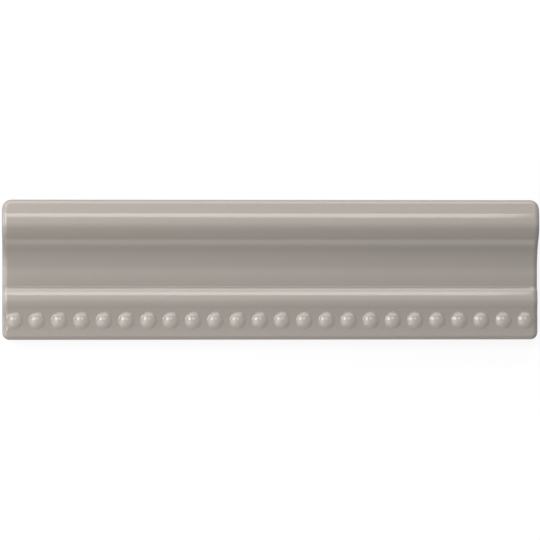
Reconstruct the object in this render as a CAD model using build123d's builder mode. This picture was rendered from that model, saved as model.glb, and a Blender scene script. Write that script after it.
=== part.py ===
from build123d import *
import math
import os

# Ceramic moulding tile lying on its back, face up: X along its length, +Y its top edge.

# Length, end to end
tile_length = 152.0

# Bands of the section, from the top edge down to the bottom edge
shoulder_width = 3.8
brow_width = 3.5
nose_width = 4.5
cove_width = 8.7
foot_width = 4.3
rail_shoulder_width = 4.2
rail_thumb_width = 1.6
fascia_width = 9.0

# Levels of the section
fascia_thickness = 7.8
rail_rise = 0.23
foot_drop = 1.1
nose_rise = 5.4
shoulder_slope = 17.0

# Softening of the section's two inner corners
foot_fillet = 0.6
quirk_fillet = 0.8

# Bead row on the fascia
bead_pitch = 6.3
bead_radius = 2.25
bead_rise = 0.75
bead_root = 0.5
bead_row_height = 5.3
bead_end_margin = 3.4

# Outline of the tile and its edges
top_corner_radius = 2.7
bottom_corner_radius = 2.1
face_round = 1.4
back_chamfer = 0.5

# Key grooves in the bare back
groove_count = 4
groove_width = 3.0
groove_depth = 0.7
groove_pitch = 8.0
groove_end_margin = 8.0

# Positions across the tile, from its middle
nose_band = shoulder_width + brow_width + nose_width + cove_width
rail_band = foot_width + rail_shoulder_width + rail_thumb_width
tile_width = nose_band + rail_band + fascia_width
top_edge = tile_width / 2
bottom_edge = -tile_width / 2
crest = top_edge - shoulder_width - brow_width
inflection = crest - nose_width
cove_bottom = inflection - cove_width
rail_foot = cove_bottom - foot_width
rail_crest = rail_foot - rail_shoulder_width
quirk = rail_crest - rail_thumb_width
bead_row = bottom_edge + bead_row_height

# Heights above the back
foot_height = fascia_thickness - foot_drop
rail_height = fascia_thickness + rail_rise
nose_height = foot_height + nose_rise
inflection_height = foot_height + nose_rise * cove_width / (cove_width + nose_width)

# The brow rounds the nose off from its level crest to the slope of the shoulder
brow_radius = brow_width / math.sin(math.radians(shoulder_slope))

# Each bead is the cap of a ball, and its root lies in the body
bead_count = int((tile_length - 2 * bead_end_margin) / bead_pitch) + 1
bead_ball = (bead_radius**2 + bead_rise**2) / (2 * bead_rise)
bead_cut = math.degrees(math.asin((bead_ball - bead_rise - bead_root) / bead_ball))

with BuildPart() as moulding_tile:
    # Section of the moulding, drawn from the bottom edge up to the top edge
    with BuildSketch(Plane.YZ.offset(-tile_length / 2)) as section:
        with BuildLine():
            bottom_wall = Line((bottom_edge, 0), (bottom_edge, fascia_thickness))
            fascia = Line(bottom_wall @ 1, (quirk, fascia_thickness))
            thumb = TangentArc((rail_crest, rail_height), (quirk, fascia_thickness), tangent=(-1, 0))
            rail_shoulder = TangentArc((rail_crest, rail_height), (rail_foot, foot_height), tangent=(1, 0))
            foot = Line((rail_foot, foot_height), (cove_bottom, foot_height))
            cove = TangentArc((cove_bottom, foot_height), (inflection, inflection_height), tangent=(1, 0))
            nose = TangentArc(cove @ 1, (crest, nose_height), tangent=cove % 1)
            brow = JernArc(nose @ 1, (1, 0), brow_radius, -shoulder_slope)
            shoulder_run = top_edge - (brow @ 1).X
            shoulder = Line(brow @ 1, brow @ 1 + (brow % 1) * (shoulder_run / (brow % 1).X))
            top_wall = Line(shoulder @ 1, (top_edge, 0))
            back = Line(top_wall @ 1, bottom_wall @ 0)
        make_face()
        fillet(section.vertices().sort_by_distance((rail_foot, foot_height))[0], foot_fillet)
        fillet(section.vertices().sort_by_distance((quirk, fascia_thickness))[0], quirk_fillet)
    extrude(amount=tile_length)

    # Corners of the outline, then one round all the way along the edge of the face
    corners = moulding_tile.edges().filter_by(Axis.Z).sort_by(Axis.Y)
    fillet(corners[-2:], top_corner_radius)
    fillet(corners[:2], bottom_corner_radius)
    walls = moulding_tile.faces().filter_by(lambda face: abs(face.normal_at().Z) < 0.001)
    back_rim = moulding_tile.faces().sort_by(Axis.Z)[0].edges()
    face_rim = walls.edges() - walls.edges().filter_by(Axis.Z) - back_rim
    fillet(face_rim, face_round)
    chamfer(moulding_tile.faces().sort_by(Axis.Z)[0].edges(), back_chamfer)

    # Row of beads along the fascia
    with Locations((0, bead_row, fascia_thickness - bead_root)):
        with GridLocations(bead_pitch, 0, bead_count, 1):
            Sphere(bead_ball, arc_size1=bead_cut, align=(Align.CENTER, Align.CENTER, Align.MIN))

    # Key grooves along the back
    with BuildSketch(Plane.XY):
        with GridLocations(0, groove_pitch, 1, groove_count):
            SlotOverall(tile_length - 2 * groove_end_margin, groove_width)
    extrude(amount=groove_depth, mode=Mode.SUBTRACT)

moulding_tile.part.label = "moulding_tile"

os.makedirs("parts", exist_ok=True)
export_step(moulding_tile.part, "parts/moulding_tile.step")
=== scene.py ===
import math

import bpy
from bpy.props import FloatProperty, FloatVectorProperty, IntProperty, PointerProperty
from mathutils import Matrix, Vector


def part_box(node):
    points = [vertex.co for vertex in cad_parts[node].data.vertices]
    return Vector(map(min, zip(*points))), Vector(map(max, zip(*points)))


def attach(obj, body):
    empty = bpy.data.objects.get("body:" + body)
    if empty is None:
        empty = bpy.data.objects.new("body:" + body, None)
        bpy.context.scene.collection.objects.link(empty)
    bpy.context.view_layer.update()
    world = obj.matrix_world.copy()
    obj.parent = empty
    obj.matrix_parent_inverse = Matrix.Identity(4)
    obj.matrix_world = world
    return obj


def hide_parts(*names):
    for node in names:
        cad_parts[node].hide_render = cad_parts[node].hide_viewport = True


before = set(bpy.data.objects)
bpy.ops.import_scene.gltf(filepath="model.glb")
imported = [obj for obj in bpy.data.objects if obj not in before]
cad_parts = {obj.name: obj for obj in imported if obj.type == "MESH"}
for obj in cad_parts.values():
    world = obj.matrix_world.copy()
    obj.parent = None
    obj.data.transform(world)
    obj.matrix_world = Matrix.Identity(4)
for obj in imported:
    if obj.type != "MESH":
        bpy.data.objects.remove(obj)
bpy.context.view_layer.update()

bl_info = {
    "name": "Ceramic moulding tile",
    "version": (1, 0, 0),
    "blender": (4, 5, 0),
    "location": "View3D > Sidebar > Moulding tile",
    "description": "A glazed moulding tile with an ogee nose, a rail and a row of beads",
    "category": "Object",
}

MM = 0.001
TILE_LOW, TILE_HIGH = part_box("moulding_tile")

# A row has a place from -1 to 1 in the cells of the beads, or this one outside them
OUTSIDE = 9.0
# A row or a ring this close to a curve keeps the flat beside it flat
CLOSE_ROW = 0.05 * MM
CLOSE_RING = 0.06 * MM
# Rings of a bead's cell that make its hollow foot, and the flat beyond it
FOOT_RINGS = 3.0
FLAT_RINGS = 2.0
# Edges that turn more than this look sharp
CREASE = math.radians(35.0)
# Seams that meet within this are one
SEAM = 0.002 * MM
FEWEST_FACES = 1000
FLOOR_REACH = 6.0
WHITE = (1.0, 1.0, 1.0, 1.0)


# Sizes and colours


def length(name, description, default):
    """A length property in metres."""
    return FloatProperty(
        name=name,
        description=description,
        default=default,
        min=0.0,
        precision=5,
        unit="LENGTH",
        subtype="DISTANCE",
    )


def colour(name, description, default):
    """A linear colour property."""
    return FloatVectorProperty(
        name=name, description=description, default=default, size=3, min=0.0, max=1.0, subtype="COLOR"
    )


def power(name, description, default):
    """A lamp's power in watts."""
    return FloatProperty(name=name, description=description, default=default, min=0.0, unit="POWER")


def share(name, description, default):
    """A share from nought to one."""
    return FloatProperty(
        name=name, description=description, default=default, min=0.0, max=1.0, subtype="FACTOR"
    )


def angle(name, description, default):
    """An angle property, given in degrees."""
    return FloatProperty(
        name=name, description=description, default=math.radians(default), subtype="ANGLE"
    )


def number(name, description, default):
    """A whole number of like things."""
    return IntProperty(name=name, description=description, default=default, min=1)


class MouldingSection(bpy.types.PropertyGroup):
    """The section of the face: bands from the top edge down, and levels above the back."""

    shoulder_width: length("Shoulder", "Straight fall from the brow to the top edge", 3.7 * MM)
    lip_width: length("Lip", "Tight turn beyond the eased edge of the nose or the rail", 0.15 * MM)
    brow_width: length("Brow", "Eased edge between the crown and the shoulder", 0.65 * MM)
    crown_width: length("Crown", "Nearly level top of the nose, from its crest to the brow", 2.8 * MM)
    nose_width: length("Nose", "Crest of the nose to where the curve turns hollow", 4.5 * MM)
    cove_width: length("Cove", "Hollow part of the curve, down to the foot", 8.7 * MM)
    foot_width: length("Foot", "Flat between the cove and the rail", 4.1 * MM)
    riser_width: length("Riser", "Foot of the rail to its lip", 1.2 * MM)
    rail_edge_width: length("Rail edge", "Eased edge between the riser and the top of the rail", 1.05 * MM)
    rail_width: length("Rail", "Nearly level top of the rail, from its edge to its crest", 2.0 * MM)
    quirk_width: length("Quirk", "Crest of the rail down to the fascia", 1.6 * MM)
    fascia_width: length("Fascia", "Flat band that carries the beads", 9.0 * MM)
    fascia_thickness: length("Fascia thickness", "Fascia above the back", 7.8 * MM)
    foot_drop: length("Foot drop", "Foot below the fascia", 0.9 * MM)
    rail_rise: length("Rail rise", "Crest of the rail above the foot", 1.13 * MM)
    nose_rise: length("Nose rise", "Crest of the nose above the foot", 5.2 * MM)
    shoulder_slope: angle("Shoulder slope", "Fall of the shoulder towards the top edge", 17.0)
    top_slope: angle("Top slope", "Lean of the nose and the rail where their eased edges begin", 5.0)
    edge_slope: angle("Edge slope", "Lean of the nose and the rail where their eased edges end", 12.0)
    riser_slope: angle("Riser slope", "Lean of the riser where it begins", 22.0)
    foot_fillet: length("Foot fillet", "Hollow corner between the foot and the rail", 0.35 * MM)
    quirk_fillet: length("Quirk fillet", "Hollow corner between the rail and the fascia", 0.8 * MM)


class MouldingEdges(bpy.types.PropertyGroup):
    """The outline, its edges and the back."""

    tile_length: length("Length", "End to end", TILE_HIGH.x - TILE_LOW.x)
    top_corner: length("Top corners", "Radius of the outline's two top corners", 2.7 * MM)
    bottom_corner: length("Bottom corners", "Radius of the outline's two bottom corners", 2.1 * MM)
    end_round: length("End round", "Round along the two ends of the face", 1.5 * MM)
    edge_round: length("Edge round", "Round along the top and bottom edges of the face", 1.1 * MM)
    back_chamfer: length("Back chamfer", "Bevel along the edge of the back", 0.5 * MM)
    groove_count: number("Key grooves", "Grooves in the back", 4)
    groove_width: length("Groove width", "Width of a key groove", 3.0 * MM)
    groove_depth: length("Groove depth", "Depth of a key groove", 0.7 * MM)
    groove_pitch: length("Groove pitch", "Spacing of the key grooves", 8.0 * MM)
    groove_end_margin: length("Groove margin", "From a groove's end to the tile's end", 8.0 * MM)
    edge_steps: number("Edge steps", "Faces across the round of an edge", 8)


class MouldingBeads(bpy.types.PropertyGroup):
    """The row of beads along the fascia."""

    pitch: length("Pitch", "Bead to bead", 6.3 * MM)
    radius: length("Radius", "Radius of a bead where it meets the fascia", 2.25 * MM)
    rise: length("Rise", "Height of a bead above the fascia", 0.75 * MM)
    foot: length("Glaze foot", "Hollow round of glaze at the foot of a bead", 0.9 * MM)
    row_height: length("Row height", "Bottom edge to the middle of the beads", 5.45 * MM)
    end_margin: length("End margin", "Least distance from a bead's middle to the end", 3.4 * MM)
    variation: share("Variation", "Share by which a bead's rise differs", 0.03)
    cell_steps: number("Cell steps", "Rings of faces around a bead", 11)


class MouldingFinish(bpy.types.PropertyGroup):
    """The glaze and the bare clay."""

    glaze: colour("Glaze", "Glaze at its usual depth", (0.312, 0.278, 0.249))
    # The deep colour also paints shade on faces turned from the lights, and the thin colour paints light on
    # faces turned towards them
    glaze_deep_and_shade: colour("Deep glaze", "Glaze where it has pooled", (0.278, 0.244, 0.213))
    glaze_thin_and_lit: colour("Thin glaze", "Glaze where it has drawn off an edge", (0.402, 0.360, 0.324))
    biscuit: colour("Biscuit", "Bare fired clay", (0.66, 0.58, 0.49))
    glaze_line: length("Glaze line", "Where the glaze ends on the edges, above the back", 2.4 * MM)
    gloss: share("Gloss", "Roughness of the glaze", 0.07)
    ripple: length("Ripple", "Unevenness of the glazed face", 0.02 * MM)
    seed: IntProperty(name="Seed", description="Seed of all that is uneven", default=7)


class MouldingStage(bpy.types.PropertyGroup):
    """The floor, the lights and the camera."""

    floor: colour("Floor", "Pale floor", (0.2, 0.2, 0.2))
    floor_glow: share("Floor glow", "White that the camera adds to the floor", 0.84)
    ambient: share("Ambient", "Strength of the light from all round", 0.08)
    key_light: power("Key light", "Softbox above and to the left", 1.6)
    line_light: power("Line light", "Softbox by the camera, for the lines along nose and rail", 1.38)
    back_light: power("Back light", "Wide softbox beyond the top edge", 13.1)
    side_light: power("Side light", "Wide softbox on the left", 1.0)
    fill_light: power("Fill light", "Wide light before the bottom edge that shows in no reflection", 1.83)
    low_light: power("Low light", "Low strip before the bottom edge", 0.9)
    low_glow: power("Low glow", "Taller and softer strip about the low one", 1.0)
    end_light: power("End light", "Low strip beyond the left end", 2.8)
    camera_reach: length("Camera reach", "Distance of the camera from the tile's back", 1.0065)
    camera_turn: angle("Camera turn", "Turn of the camera from upright towards the left end", 3.0)
    camera_aim: FloatVectorProperty(
        name="Camera aim",
        description="Point of the back at which the camera looks",
        default=(0.1 * MM, -0.05 * MM, 0.0),
        precision=5,
        unit="LENGTH",
        subtype="TRANSLATION",
    )
    lens: FloatProperty(
        name="Lens", description="Focal length in millimetres", default=235.15, subtype="DISTANCE_CAMERA"
    )


class MouldingTile(bpy.types.PropertyGroup):
    """All that a user would change."""

    section: PointerProperty(type=MouldingSection)
    edges: PointerProperty(type=MouldingEdges)
    beads: PointerProperty(type=MouldingBeads)
    finish: PointerProperty(type=MouldingFinish)
    stage: PointerProperty(type=MouldingStage)


# Node maths


class Flow:
    """A node's output, whose arithmetic adds Math nodes, so that node maths reads as an expression."""

    def __init__(self, graph, socket):
        self.graph = graph
        self.socket = socket

    def __getitem__(self, name):
        return Flow(self.graph, self.socket.node.outputs[name])

    def __add__(self, other):
        return self.graph.math("ADD", self, other)

    def __radd__(self, other):
        return self.graph.math("ADD", other, self)

    def __sub__(self, other):
        return self.graph.math("SUBTRACT", self, other)

    def __rsub__(self, other):
        return self.graph.math("SUBTRACT", other, self)

    def __mul__(self, other):
        return self.graph.math("MULTIPLY", self, other)

    def __rmul__(self, other):
        return self.graph.math("MULTIPLY", other, self)

    def __truediv__(self, other):
        return self.graph.math("DIVIDE", self, other)

    def __rtruediv__(self, other):
        return self.graph.math("DIVIDE", other, self)

    def __gt__(self, other):
        return self.graph.math("GREATER_THAN", self, other)

    def __lt__(self, other):
        return self.graph.math("LESS_THAN", self, other)

    def __abs__(self):
        return self.graph.math("ABSOLUTE", self)

    def __floor__(self):
        return self.graph.math("FLOOR", self)

    def at_least(self, other):
        return self.graph.math("MAXIMUM", self, other)

    def at_most(self, other):
        return self.graph.math("MINIMUM", self, other)

    def root(self):
        return self.graph.math("SQRT", self)

    def sine(self):
        return self.graph.math("SINE", self)

    def cosine(self):
        return self.graph.math("COSINE", self)

    def choose(self, yes, no):
        """yes where this is 1 and no where it is 0."""
        return no + self * (yes - no)

    def between(self, low, high):
        """From 0 at low to 1 at high, smoothly."""
        return self.graph.node(
            "ShaderNodeMapRange",
            {"interpolation_type": "SMOOTHSTEP"},
            {"Value": self, "From Min": low, "From Max": high},
        )


class Graph:
    """A node tree that is filled through one method."""

    def __init__(self, tree):
        self.tree = tree

    def node(self, kind, settings=None, values=None):
        """Adds a node, sets its settings and then its sockets, and returns its first output."""
        node = self.tree.nodes.new(kind)
        for name, value in (settings or {}).items():
            setattr(node, name, value)
        if not isinstance(values, dict):
            values = dict(enumerate(values or ()))
        shown = [socket for socket in node.inputs if socket.enabled]
        for key, value in values.items():
            socket = shown[key] if isinstance(key, int) else next(s for s in shown if s.name == key)
            for part in value if isinstance(value, list) else [value]:
                if isinstance(part, Flow):
                    self.tree.links.new(part.socket, socket)
                else:
                    socket.default_value = part
        outputs = [socket for socket in node.outputs if socket.enabled]
        return Flow(self, outputs[0]) if outputs else None

    def math(self, operation, *values):
        return self.node("ShaderNodeMath", {"operation": operation}, values)

    def vector(self, x, y, z):
        return self.node("ShaderNodeCombineXYZ", None, (x, y, z))

    def parts(self, vector):
        return self.node("ShaderNodeSeparateXYZ", None, (vector,))

    def blend(self, amount, first, second):
        """The first colour where amount is 0 and the second where it is 1."""
        values = {"Factor": amount, "A": first, "B": second}
        return self.node("ShaderNodeMix", {"data_type": "RGBA"}, values)


# The tile


class SectionPen:
    """Draws the section of the face from the bottom edge to the top edge, as rows of vertices.

    A lean is towards the top edge. Glaze depth and shade tells how dark the glaze is made: 1 where it
    gathers in hollows and where shade is painted on faces turned from the lights, and -1 where it draws off
    and where light is painted.
    """

    def __init__(self):
        self.rows = []

    def mark(self, y, z, lean, pool=0.0, cell=OUTSIDE, sink=None):
        """A row: its place, lean, glaze depth and painted shade, its place in a bead's cell, and the way
        its edge sinks.
        """
        sink = lean if sink is None else sink
        self.rows.append({"y": y, "z": z, "lean": lean, "pool": pool, "cell": cell, "sink": sink})

    def arc(self, centre, radius, leans, steps, hollow=False, pool=(0.0, 0.0)):
        """Rows along an arc between two leans of its face, after the first."""
        side = -1.0 if hollow else 1.0
        for step in range(1, steps + 1):
            part = step / steps
            lean = leans[0] + (leans[1] - leans[0]) * part
            y = centre[0] + side * radius * math.sin(lean)
            z = centre[1] + side * radius * math.cos(lean)
            self.mark(y, z, lean, pool[0] + (pool[1] - pool[0]) * part)

    def line(self, end_y, steps, cell=False, to_edge=False, pool=(0.0, 0.0)):
        """Rows along a straight run with the lean of the last row, after the first."""
        first = self.rows[-1]
        run = end_y - first["y"]
        parts = [step / steps for step in range(1, steps + 1)]
        if not cell:
            close = CLOSE_ROW / abs(run)
            parts = sorted(parts + [close, 1.0 - close])
        for part in parts:
            y = first["y"] + run * part
            z = first["z"] - run * part * math.tan(first["lean"])
            place = 2.0 * part - 1.0 if cell else OUTSIDE
            sink = first["lean"] * (1.0 - part) if to_edge else None
            self.mark(y, z, first["lean"], pool[0] + (pool[1] - pool[0]) * part, place, sink)

    def edge(self, edge_y, roll, steps, pool):
        """Rows out to an edge, closing up as the rows of its round do."""
        first = self.rows[-1]
        side = math.copysign(1.0, edge_y - first["y"])
        for step in range(1, steps + 1):
            y = edge_y - side * roll * (1.0 - math.sin(0.5 * math.pi * step / steps))
            z = first["z"] - (y - first["y"]) * math.tan(first["lean"])
            self.mark(y, z, first["lean"], pool, sink=0.0)


def turns(start, leans, widths):
    """Tangent arcs that run on from a level start: each turns from one lean to the next over its width."""
    arcs = []
    y, z = start
    for first, last, width in zip(leans, leans[1:], widths):
        radius = width / (math.sin(last) - math.sin(first))
        centre = (y - radius * math.sin(first), z - radius * math.cos(first))
        y, z = y + width, centre[1] + radius * math.cos(last)
        arcs.append({"centre": centre, "radius": radius, "leans": (first, last), "end": (y, z)})
    return arcs


def draw_section(section, edges, beads):
    """The rows of the face from the bottom edge to the top edge, and half the width of the tile."""
    s = section
    crown_band = s.shoulder_width + s.lip_width + s.brow_width + s.crown_width
    ogee_band = s.nose_width + s.cove_width
    rail_band = s.riser_width + s.lip_width + s.rail_edge_width + s.rail_width
    bands = (crown_band, ogee_band, s.foot_width, rail_band, s.quirk_width, s.fascia_width)
    half_width = 0.5 * sum(bands)
    crest = half_width - crown_band
    cove_bottom = crest - ogee_band
    rail_crest = cove_bottom - s.foot_width - rail_band
    bead_row = -half_width + beads.row_height

    fascia_level = s.fascia_thickness
    foot_level = fascia_level - s.foot_drop
    rail_level = foot_level + s.rail_rise
    nose_level = foot_level + s.nose_rise
    quirk_drop = rail_level - fascia_level

    # An arc that is level at one end turns by twice the slope of its chord
    ogee_turn = 2.0 * math.atan(s.nose_rise / ogee_band)
    nose_radius = s.nose_width / math.sin(ogee_turn)
    cove_radius = s.cove_width / math.sin(ogee_turn)
    thumb_radius = s.quirk_width / math.sin(2.0 * math.atan(quirk_drop / s.quirk_width))

    # Each raised top is nearly level, then turns faster along its eased edge, and then faster still
    tops = (0.0, s.top_slope, s.edge_slope)
    crown_widths = (s.crown_width, s.brow_width, s.lip_width)
    rail_widths = (s.rail_width, s.rail_edge_width, s.lip_width)
    crown = turns((crest, nose_level), tops + (s.shoulder_slope,), crown_widths)
    rail = turns((rail_crest, rail_level), tops + (s.riser_slope,), rail_widths)
    riser_start = rail[-1]["end"]
    riser_drop = riser_start[1] - foot_level
    riser_radius = (s.riser_width**2 + riser_drop**2) / (
        2.0 * (riser_drop * math.cos(s.riser_slope) - s.riser_width * math.sin(s.riser_slope))
    )
    riser_centre = (
        riser_start[0] - riser_radius * math.sin(s.riser_slope),
        riser_start[1] - riser_radius * math.cos(s.riser_slope),
    )

    # A hollow fillet touches the flat below it and the round beside it
    quirk_reach = thumb_radius + s.quirk_fillet
    quirk_lean = math.acos((quirk_reach - quirk_drop) / quirk_reach)
    quirk_y = rail_crest - quirk_reach * math.sin(quirk_lean)
    foot_reach = riser_radius + s.foot_fillet
    foot_lean = math.acos((foot_level + s.foot_fillet - riser_centre[1]) / foot_reach)
    foot_y = riser_centre[0] + foot_reach * math.sin(foot_lean)

    # The glaze depth and shade of the rows is partly real glaze, which gathers in hollows and draws off
    # edges, and partly painted light and shade: faces turned from the lights beyond the top edge are
    # darkened and faces turned towards them are lightened
    pen = SectionPen()
    # Painted shade: the round of the bottom edge is darkened like deep glaze, where the tile meets the
    # floor
    pen.mark(-half_width + edges.edge_round, fascia_level, 0.0, -0.4)
    pen.edge(-half_width, edges.edge_round, edges.edge_steps, 0.7)
    pen.rows.reverse()
    # Painted light on the fascia near the bottom edge, and painted shade growing towards the rail and in
    # the quirk, on top of glaze gathered in the quirk
    pen.line(bead_row - 0.5 * beads.pitch, 3, pool=(-0.4, -0.3))
    pen.rows[-1]["cell"] = -1.0
    pen.line(bead_row + 0.5 * beads.pitch, 2 * beads.cell_steps, cell=True, pool=(-0.25, 0.55))
    pen.line(quirk_y, 2, pool=(0.6, 0.6))
    quirk_centre = (quirk_y, fascia_level + s.quirk_fillet)
    pen.arc(quirk_centre, s.quirk_fillet, (0.0, -quirk_lean), 4, hollow=True, pool=(0.6, 0.6))
    pen.arc((rail_crest, rail_level - thumb_radius), thumb_radius, (-quirk_lean, 0.0), 5, pool=(0.3, -0.2))
    # Painted light on the top and the riser of the rail, which face the light beyond the top edge, on top
    # of glaze drawn off its edge
    for turn, steps, pool in zip(rail, (8, 8, 4), ((-0.25, -1.1), (-1.0, -1.0), (-1.0, -1.0))):
        pen.arc(turn["centre"], turn["radius"], turn["leans"], steps, pool=pool)
    pen.arc(riser_centre, riser_radius, (s.riser_slope, foot_lean), 10, pool=(-0.8, -0.3))
    foot_centre = (foot_y, foot_level + s.foot_fillet)
    pen.arc(foot_centre, s.foot_fillet, (foot_lean, 0.0), 8, hollow=True, pool=(0.0, 0.2))
    pen.line(cove_bottom, 4, pool=(0.0, -0.5))
    # Painted shade on the steep hollow of the cove and on the underside of the nose, which turn from the
    # light, on top of glaze gathered in the cove
    cove_centre = (cove_bottom, foot_level + cove_radius)
    pen.arc(cove_centre, cove_radius, (0.0, -ogee_turn), 16, hollow=True, pool=(-0.5, 1.2))
    nose_centre = (crest, nose_level - nose_radius)
    pen.arc(nose_centre, nose_radius, (-ogee_turn, -0.2 * ogee_turn), 12, pool=(0.6, 0.85))
    pen.arc(nose_centre, nose_radius, (-0.2 * ogee_turn, 0.0), 5, pool=(0.85, -0.2))
    # Painted light on the crown and shoulder of the nose and on the round of the top edge, which face the
    # light, on top of glaze drawn off the edges
    for turn, steps, pool in zip(crown, (8, 8, 4), ((-0.55, -0.85), (-0.85, -0.85), (-0.85, -0.9))):
        pen.arc(turn["centre"], turn["radius"], turn["leans"], steps, pool=pool)
    pen.line(half_width - edges.edge_round, 4, to_edge=True, pool=(-0.9, -0.9))
    pen.edge(half_width, edges.edge_round, edges.edge_steps, -0.9)
    return pen.rows, half_width


def section_mesh(rows):
    """The section as a wire that carries what the sweep needs to know of each row."""
    mesh = bpy.data.meshes.new("moulding_section")
    points = [(0.0, row["y"], row["z"]) for row in rows]
    mesh.from_pydata(points, [(i, i + 1) for i in range(len(rows) - 1)], [])
    sink = mesh.attributes.new("sink", "FLOAT_VECTOR", "POINT")
    for i, row in enumerate(rows):
        sink.data[i].vector = (0.0, math.sin(row["sink"]), math.cos(row["sink"]))
    facts = {
        "slope": [math.tan(row["lean"]) for row in rows],
        "pool": [row["pool"] for row in rows],
        "cell": [row["cell"] for row in rows],
    }
    for name, values in facts.items():
        mesh.attributes.new(name, "FLOAT", "POINT").data.foreach_set("value", values)
    return mesh


def new_tree(name, inputs):
    """A Geometry Nodes tree with a named input for each value, and its Group Input."""
    tree = bpy.data.node_groups.new(name, "GeometryNodeTree")
    tree.interface.new_socket("Geometry", in_out="INPUT", socket_type="NodeSocketGeometry")
    tree.interface.new_socket("Geometry", in_out="OUTPUT", socket_type="NodeSocketGeometry")
    kinds = {int: "NodeSocketInt", float: "NodeSocketFloat", bpy.types.Material: "NodeSocketMaterial"}
    for title, value in inputs.items():
        tree.interface.new_socket(title, in_out="INPUT", socket_type=kinds[type(value)])
    graph = Graph(tree)
    return graph, graph.node("NodeGroupInput")


def sweep_face(graph, given):
    """The face: the section swept from end to end, with its beads raised and its edges rounded."""
    wire = given["Geometry"]
    half_length, half_width = given["Tile Length"] * 0.5, given["Half Width"]
    end_round, edge_round, steps = given["End Round"], given["Edge Round"], given["Edge Steps"]
    count, pitch, rings = given["Bead Count"], given["Bead Pitch"], given["Cell Steps"]

    # A grid with a column of vertices at each station and a row for each point of the section
    rows = graph.node("GeometryNodeAttributeDomainSize", {"component": "MESH"}, {"Geometry": wire})
    columns = 2.0 * steps + 2.0 * rings * count + 1.0
    grid = graph.node("GeometryNodeMeshGrid", None, {"Vertices X": columns, "Vertices Y": rows})
    index = graph.node("GeometryNodeInputIndex")
    station = math.floor(index / rows)
    row = index - station * rows

    def of_row(value, kind):
        return graph.node(
            "GeometryNodeSampleIndex",
            {"data_type": kind, "domain": "POINT"},
            {"Geometry": wire, "Value": value, "Index": row},
        )

    def fact(name, kind="FLOAT"):
        named = graph.node("GeometryNodeInputNamedAttribute", {"data_type": kind}, {"Name": name})
        return of_row(named, kind)

    place = graph.parts(of_row(graph.node("GeometryNodeInputPosition"), "FLOAT_VECTOR"))
    sink = graph.parts(fact("sink", "FLOAT_VECTOR"))
    y, z = place["Y"], place["Z"]
    cell_y = fact("cell")

    # Each bead has a cell of columns to itself, and what is left at each end closes up towards the end
    inner = (station - steps).at_least(0.0).at_most(2.0 * rings * count)
    bead = math.floor(inner / (2.0 * rings)).at_most(count - 1.0)
    cell_x = (inner - (2.0 * bead + 1.0) * rings) / rings
    side = (station > (columns - 1.0) * 0.5) * 2.0 - 1.0
    end_part = (1.0 - station.at_most(columns - 1.0 - station) / steps).at_least(0.0)
    first_sine = 1.0 - (half_length - pitch * count * 0.5) / end_round
    first_turn = graph.math("ARCSINE", first_sine)
    turn = first_turn + end_part * (0.5 * math.pi - first_turn)
    x = (bead - (count - 1.0) * 0.5 + cell_x * 0.5) * pitch + side * end_round * (turn.sine() - first_sine)

    # Beads: rings of the square cell become rings of a dome with a hollow foot of glaze
    chance = graph.node(
        "FunctionNodeRandomValue", {"data_type": "FLOAT"}, {"Min": -1.0, "ID": bead, "Seed": given["Seed"]}
    )
    rise = given["Bead Rise"] * (1.0 + chance * given["Bead Variation"])
    foot, base = given["Bead Foot"], given["Bead Radius"]
    ball = (base * base + rise * rise) / (2.0 * rise)
    to_foot = ball + foot
    skirt = (to_foot * to_foot - (to_foot - rise) * (to_foot - rise)).root()
    dome_turn = graph.math("ARCSINE", skirt / to_foot)
    ring = abs(cell_x).at_least(abs(cell_y)) * rings
    dome_end, foot_end = rings - (FOOT_RINGS + FLAT_RINGS), rings - FLAT_RINGS
    dome_lean = dome_turn * ring / dome_end
    foot_lean = dome_turn * (foot_end - ring) / FOOT_RINGS
    slack = 0.01
    on_dome = ring < dome_end + slack
    on_foot = ring < foot_end + slack
    in_cell = ring < rings + slack
    around = on_foot.choose(skirt - foot * foot_lean.sine(), skirt + CLOSE_RING)
    spread = on_dome.choose(ball * dome_lean.sine(), around)
    foot_swell = on_foot * foot * (1.0 - foot_lean.cosine())
    swell = on_dome.choose(rise - ball * (1.0 - dome_lean.cosine()), foot_swell)
    slant = (cell_x * cell_x + cell_y * cell_y).root().at_least(1e-6)
    hold = in_cell * (rings - ring).at_least(0.0).at_most(1.0)
    x = x + hold * cell_x * (spread / slant - pitch * 0.5)
    y = y + hold * cell_y * (spread / slant - pitch * 0.5)

    # The corners of the outline, drawn in from square to round
    corner = (y > 0.0).choose(given["Top Corner"], given["Bottom Corner"])
    inset_x = half_length - abs(x)
    inset_y = half_width - abs(y)
    over_x = (corner - inset_x).at_least(0.0)
    over_y = (corner - inset_y).at_least(0.0)
    diagonal = (over_x * over_x + over_y * over_y).root().at_least(1e-9)
    draw_in = (over_x > 0.0) * (over_y > 0.0) * (1.0 - over_x.at_least(over_y) / diagonal)
    in_x = side * over_x * draw_in
    in_y = graph.math("SIGN", y) * over_y * draw_in

    # The round along the edge of the face, which changes along a corner from the end's to the edge's
    to_end = over_x * over_x / (diagonal * diagonal)
    roll = to_end.choose(end_round, edge_round)
    near = (roll - inset_x.at_most(inset_y)).at_least(0.0).at_most(roll)
    drop = roll - (roll * roll - near * near).at_least(0.0).root()

    # Slight waves of the fired face, all inwards
    flat = graph.vector(x, y, 0.0)
    waves = graph.node(
        "ShaderNodeTexNoise", {"noise_dimensions": "3D"}, {"Vector": flat, "Scale": 60.0, "Detail": 2.0}
    )
    sunk = drop + waves * given["Ripple"]
    face = graph.node(
        "GeometryNodeSetPosition",
        None,
        {
            "Geometry": grid,
            "Position": graph.vector(
                x - in_x,
                y - in_y - sink["Y"] * sunk,
                z + in_y * fact("slope") + in_cell * swell - sink["Z"] * sunk,
            ),
        },
    )

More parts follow.
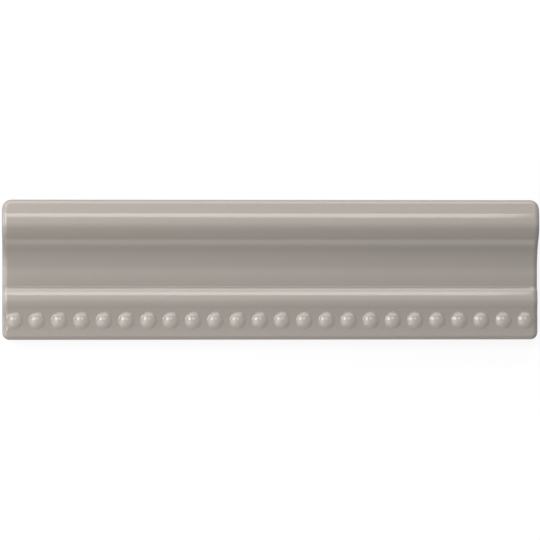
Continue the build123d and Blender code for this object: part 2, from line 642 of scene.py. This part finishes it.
    # Glaze depth and painted light and shade: the rows' values, with the bead domes lightened as glaze
    # drawn thin and as painted light, and all rounds of the outline lightened as glaze drawn off the edges
    pool = on_dome.choose(dome_lean / dome_turn * 0.5 - 1.2, fact("pool")) - near / roll * 0.5
    pool = graph.node("GeometryNodeBlurAttribute", {"data_type": "FLOAT"}, {"Value": pool, "Iterations": 3})
    return graph.node(
        "GeometryNodeStoreNamedAttribute",
        {"data_type": "FLOAT", "domain": "POINT"},
        {"Geometry": face, "Name": "pool", "Value": pool},
    )


def close_body(graph, given, face):
    """The walls below the face, the bevel of the back and the back with its key grooves."""
    chamfer = given["Back Chamfer"]
    neighbours = graph.node("GeometryNodeInputMeshEdgeNeighbors")
    rim = graph.node(
        "FunctionNodeCompare", {"data_type": "INT", "operation": "EQUAL"}, {"A": neighbours, "B": 1}
    )
    down = graph.vector(0.0, 0.0, -1.0 * MM)
    at = graph.parts(graph.node("GeometryNodeInputPosition"))
    corner = (at["Y"] > 0.0).choose(given["Top Corner"], given["Bottom Corner"])

    def pulled(mesh, edges):
        settings = {"Mesh": mesh, "Selection": edges, "Offset": down}
        return graph.node("GeometryNodeExtrudeMesh", {"mode": "EDGES"}, settings)

    def placed(mesh, points, position):
        settings = {"Geometry": mesh, "Selection": points, "Position": position}
        return graph.node("GeometryNodeSetPosition", None, settings)

    walls = pulled(face, rim)
    walled = placed(walls, walls["Top"], graph.vector(at["X"], at["Y"], chamfer))
    bevel = pulled(walled, walls["Top"])

    def bevelled(value, half):
        middle = value.at_least(corner - half).at_most(half - corner)
        return middle + (value - middle) * (1.0 - chamfer / corner)

    to_back = graph.vector(
        bevelled(at["X"], given["Tile Length"] * 0.5), bevelled(at["Y"], given["Half Width"]), 0.0
    )
    shell = placed(bevel, bevel["Top"], to_back)

    # Key grooves: slots along the back
    slot = graph.node(
        "GeometryNodeCurvePrimitiveQuadrilateral",
        None,
        {
            "Width": given["Tile Length"] - 2.0 * given["Groove Margin"],
            "Height": given["Groove Width"],
        },
    )
    slot = graph.node(
        "GeometryNodeFilletCurve",
        {"mode": "POLY"},
        {"Curve": slot, "Count": 6, "Radius": given["Groove Width"] * 0.4999},
    )
    across = (given["Groove Count"] - 1.0) * given["Groove Pitch"]
    spots = graph.node(
        "GeometryNodeMeshLine",
        {"mode": "OFFSET"},
        {
            "Count": given["Groove Count"],
            "Start Location": graph.vector(0.0, -0.5 * across, 0.0),
            "Offset": graph.vector(0.0, given["Groove Pitch"], 0.0),
        },
    )
    slots = graph.node("GeometryNodeInstanceOnPoints", None, {"Points": spots, "Instance": slot})
    slots = graph.node("GeometryNodeRealizeInstances", None, {"Geometry": slots})
    outline = graph.node("GeometryNodeMeshToCurve", None, {"Mesh": shell, "Selection": bevel["Top"]})
    both = graph.node("GeometryNodeJoinGeometry", None, {"Geometry": [outline, slots]})
    back = graph.node("GeometryNodeFillCurve", None, {"Curve": both})
    floors = graph.node("GeometryNodeFillCurve", None, {"Curve": slots})
    grooves = graph.node(
        "GeometryNodeExtrudeMesh",
        {"mode": "FACES"},
        {"Mesh": floors, "Offset": graph.vector(0.0, 0.0, given["Groove Depth"]), "Individual": False},
    )
    under = graph.node("GeometryNodeJoinGeometry", None, {"Geometry": [back, grooves]})
    under = graph.node("GeometryNodeFlipFaces", None, {"Mesh": under})
    body = graph.node("GeometryNodeJoinGeometry", None, {"Geometry": [shell, under]})
    return graph.node("GeometryNodeMergeByDistance", None, {"Geometry": body, "Distance": SEAM})


def sweep_tree(inputs):
    """The tree that turns the section's wire into the tile."""
    graph, given = new_tree("moulding_tile_sweep", inputs)
    body = close_body(graph, given, sweep_face(graph, given))
    sharp = graph.node("GeometryNodeInputMeshEdgeAngle") > CREASE
    for domain, selection, smooth in (("FACE", True, True), ("EDGE", sharp, False)):
        body = graph.node(
            "GeometryNodeSetShadeSmooth",
            {"domain": domain},
            {"Geometry": body, "Selection": selection, "Shade Smooth": smooth},
        )
    body = graph.node("GeometryNodeRealizeInstances", None, {"Geometry": body})
    body = graph.node("GeometryNodeSetMaterial", None, {"Geometry": body, "Material": given["Finish"]})
    graph.node("NodeGroupOutput", None, {"Geometry": body})
    return graph.tree


def grow(name, mesh, tree, inputs):
    """A plain mesh object grown by a Geometry Nodes tree."""
    seed = bpy.data.objects.new(name, mesh)
    bpy.context.scene.collection.objects.link(seed)
    modifier = seed.modifiers.new(name, "NODES")
    modifier.node_group = tree
    for item in tree.interface.items_tree:
        if item.in_out == "INPUT" and item.name in inputs:
            modifier[item.identifier] = inputs[item.name]
    bpy.context.view_layer.update()
    grown = bpy.data.meshes.new_from_object(seed.evaluated_get(bpy.context.evaluated_depsgraph_get()))
    seed.modifiers.remove(modifier)
    seed.data = grown
    grown.name = name
    return seed


# Finishes


def empty_graph(block):
    """The graph of a material or a world, with no node in it yet."""
    block.use_nodes = True
    block.node_tree.nodes.clear()
    return Graph(block.node_tree)


def in_sight(graph):
    """1 for what the camera sees, also in a gloss or through glass, and 0 for the light on things."""
    path = graph.node("ShaderNodeLightPath")
    return path["Is Camera Ray"].at_least(path["Is Glossy Ray"]).at_least(path["Is Transmission Ray"])


def glaze_finish(finish):
    """Gloss glaze over the face and most of the edges, and bare biscuit below it."""
    material = bpy.data.materials.new("glaze")
    graph = empty_graph(material)
    spot = graph.node("ShaderNodeTexCoord")["Object"]
    height = graph.parts(spot)["Z"]

    def noise(scale, detail=3.0, roughness=0.5):
        return graph.node(
            "ShaderNodeTexNoise",
            None,
            {"Vector": spot, "Scale": scale, "Detail": detail, "Roughness": roughness},
        )

    # The stored glaze depth and shade: real pooling of the glaze mixed with painted light and shade
    pool = graph.node("ShaderNodeAttribute", {"attribute_name": "pool"})["Fac"]
    cloud = noise(45.0, 4.0)
    mottle = noise(420.0, 3.0, 0.6)
    grain = noise(2600.0, 2.0)

    # The deep glaze colour darkens hollows and painted shade, and the thin glaze colour lightens edges and
    # painted light
    depth = pool + (cloud - 0.5) * 0.2 + (mottle - 0.5) * 0.15
    glazed = graph.blend(depth.between(0.0, 1.0), (*finish.glaze, 1.0), (*finish.glaze_deep_and_shade, 1.0))
    glazed = graph.blend((0.0 - depth).between(0.0, 1.0), glazed, (*finish.glaze_thin_and_lit, 1.0))
    bare = graph.blend(
        (grain * 0.6 + mottle * 0.4).between(0.35, 0.65),
        (*finish.biscuit, 1.0),
        tuple(0.86 * part for part in finish.biscuit) + (1.0,),
    )
    line = height + (noise(160.0, 2.0) - 0.5) * (1.6 * MM)
    cover = line.between(finish.glaze_line - 0.25 * MM, finish.glaze_line + 0.25 * MM)

    bumps = cover.choose(mottle * 0.004, grain * 0.05 + mottle * 0.03)
    normal = graph.node("ShaderNodeBump", None, {"Strength": 1.0, "Distance": MM, "Height": bumps})
    shader = graph.node(
        "ShaderNodeBsdfPrincipled",
        None,
        {
            "Base Color": graph.blend(cover, bare, glazed),
            "Roughness": cover.choose(finish.gloss + (cloud - 0.5) * 0.03, 0.85 + (grain - 0.5) * 0.1),
            "IOR": 1.6,
            "Normal": normal,
        },
    )
    graph.node("ShaderNodeOutputMaterial", None, {"Surface": shader})
    return material


def pale_floor(stage):
    """A pale matt floor that looks white to the camera and keeps a shadow."""
    material = bpy.data.materials.new("pale_floor")
    graph = empty_graph(material)
    strength = in_sight(graph) * stage.floor_glow
    matt = graph.node("ShaderNodeBsdfDiffuse", None, {"Color": (*stage.floor, 1.0)})
    glow = graph.node("ShaderNodeEmission", None, {"Color": WHITE, "Strength": strength})
    both = graph.node("ShaderNodeAddShader", None, (matt, glow))
    graph.node("ShaderNodeOutputMaterial", None, {"Surface": both})
    return material


# Operators


class MOULDING_OT_make_tile(bpy.types.Operator):
    """Make the moulding tile and its glaze"""

    bl_idname = "moulding.make_tile"
    bl_label = "Make moulding tile"

    def execute(self, context):
        tile = context.scene.moulding_tile
        section, edges, beads, finish = tile.section, tile.edges, tile.beads, tile.finish
        rows, half_width = draw_section(section, edges, beads)
        inputs = {
            "Tile Length": edges.tile_length,
            "Half Width": half_width,
            "Top Corner": edges.top_corner,
            "Bottom Corner": edges.bottom_corner,
            "End Round": edges.end_round,
            "Edge Round": edges.edge_round,
            "Edge Steps": edges.edge_steps,
            "Back Chamfer": edges.back_chamfer,
            "Groove Count": edges.groove_count,
            "Groove Width": edges.groove_width,
            "Groove Depth": edges.groove_depth,
            "Groove Pitch": edges.groove_pitch,
            "Groove Margin": edges.groove_end_margin,
            "Bead Count": int((edges.tile_length - 2.0 * beads.end_margin) / beads.pitch) + 1,
            "Bead Pitch": beads.pitch,
            "Bead Radius": beads.radius,
            "Bead Rise": beads.rise,
            "Bead Foot": beads.foot,
            "Bead Variation": beads.variation,
            "Cell Steps": beads.cell_steps,
            "Ripple": finish.ripple,
            "Seed": finish.seed,
            "Finish": glaze_finish(finish),
        }
        piece = grow("glazed_moulding_tile", section_mesh(rows), sweep_tree(inputs), inputs)
        if len(piece.data.polygons) < FEWEST_FACES:
            raise RuntimeError("the sweep gave no tile")
        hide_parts("moulding_tile")
        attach(piece, "root")
        return {"FINISHED"}


def softbox(name, watts, size, reach, tilt, turn):
    """A soft light that faces the tile, with its tilt off the upright and its turn from the length."""
    lamp = bpy.data.lights.new(name, "AREA")
    lamp.shape = "RECTANGLE"
    lamp.size, lamp.size_y = size
    lamp.energy = watts
    light = bpy.data.objects.new(name, lamp)
    tilt, turn = math.radians(tilt), math.radians(turn)
    way = Vector((math.sin(tilt) * math.cos(turn), math.sin(tilt) * math.sin(turn), math.cos(tilt)))
    light.location = Vector((0.0, 0.0, TILE_HIGH.z)) + way * reach
    light.rotation_euler = (-way).to_track_quat("-Z", "Y").to_euler()
    light.visible_camera = False
    bpy.context.scene.collection.objects.link(light)
    return light


class MOULDING_OT_make_stage(bpy.types.Operator):
    """Make the floor, the lights and the camera"""

    bl_idname = "moulding.make_stage"
    bl_label = "Make stage"

    def execute(self, context):
        scene = context.scene
        stage = scene.moulding_tile.stage

        ground = bpy.data.meshes.new("floor")
        corners = [(x * FLOOR_REACH, y * FLOOR_REACH, 0.0) for x, y in ((-1, -1), (1, -1), (1, 1), (-1, 1))]
        ground.from_pydata(corners, [], [(0, 1, 2, 3)])
        ground.materials.append(pale_floor(stage))
        floor = bpy.data.objects.new("floor", ground)
        scene.collection.objects.link(floor)

        softbox("key_softbox", stage.key_light, size=(0.30, 0.30), reach=0.7, tilt=37.0, turn=155.0)
        softbox("line_softbox", stage.line_light, size=(0.42, 0.30), reach=1.2, tilt=17.0, turn=88.0)
        softbox("back_softbox", stage.back_light, size=(2.0, 1.0), reach=1.2, tilt=65.0, turn=97.0)
        softbox("side_softbox", stage.side_light, size=(0.50, 0.50), reach=0.7, tilt=40.0, turn=205.0)
        softbox("low_strip", stage.low_light, size=(1.6, 0.25), reach=1.2, tilt=82.0, turn=270.0)
        softbox("low_glow", stage.low_glow, size=(1.6, 0.45), reach=1.2, tilt=79.0, turn=270.0)
        softbox("end_strip", stage.end_light, size=(0.9, 0.25), reach=1.2, tilt=82.0, turn=180.0)
        fill = softbox("fill_light", stage.fill_light, size=(0.9, 0.65), reach=0.75, tilt=45.0, turn=238.0)
        fill.visible_glossy = False

        world = bpy.data.worlds.new("studio")
        graph = empty_graph(world)
        strength = in_sight(graph).choose(1.0, stage.ambient)
        sky = graph.node("ShaderNodeBackground", None, {"Color": WHITE, "Strength": strength})
        graph.node("ShaderNodeOutputWorld", None, {"Surface": sky})
        scene.world = world

        lens = bpy.data.cameras.new("camera")
        lens.sensor_width = 36.0
        lens.lens = stage.lens
        lens.clip_start = 0.01
        camera = bpy.data.objects.new("camera", lens)
        way = Vector((-math.sin(stage.camera_turn), 0.0, math.cos(stage.camera_turn)))
        camera.location = Vector(stage.camera_aim) + way * stage.camera_reach
        camera.rotation_euler = (0.0, -stage.camera_turn, 0.0)
        scene.collection.objects.link(camera)
        scene.camera = camera
        scene.view_settings.view_transform = "Standard"
        return {"FINISHED"}


class MOULDING_PT_sidebar(bpy.types.Panel):
    """The moulding tile's sizes, colours and operators"""

    bl_label = "Moulding tile"
    bl_idname = "MOULDING_PT_sidebar"
    bl_space_type = "VIEW_3D"
    bl_region_type = "UI"
    bl_category = "Moulding tile"

    def draw(self, context):
        tile = context.scene.moulding_tile
        for title, group in (
            ("Section", tile.section),
            ("Edges and back", tile.edges),
            ("Beads", tile.beads),
            ("Finish", tile.finish),
            ("Stage", tile.stage),
        ):
            box = self.layout.box()
            box.label(text=title)
            for name in group.__annotations__:
                box.prop(group, name)
        self.layout.operator(MOULDING_OT_make_tile.bl_idname)
        self.layout.operator(MOULDING_OT_make_stage.bl_idname)


CLASSES = (
    MouldingSection,
    MouldingEdges,
    MouldingBeads,
    MouldingFinish,
    MouldingStage,
    MouldingTile,
    MOULDING_OT_make_tile,
    MOULDING_OT_make_stage,
    MOULDING_PT_sidebar,
)


def register():
    for item in CLASSES:
        bpy.utils.register_class(item)
    bpy.types.Scene.moulding_tile = PointerProperty(type=MouldingTile)


def unregister():
    del bpy.types.Scene.moulding_tile
    for item in reversed(CLASSES):
        bpy.utils.unregister_class(item)


def main():
    register()
    bpy.ops.moulding.make_tile()
    bpy.ops.moulding.make_stage()


if __name__ == "__main__":
    main()
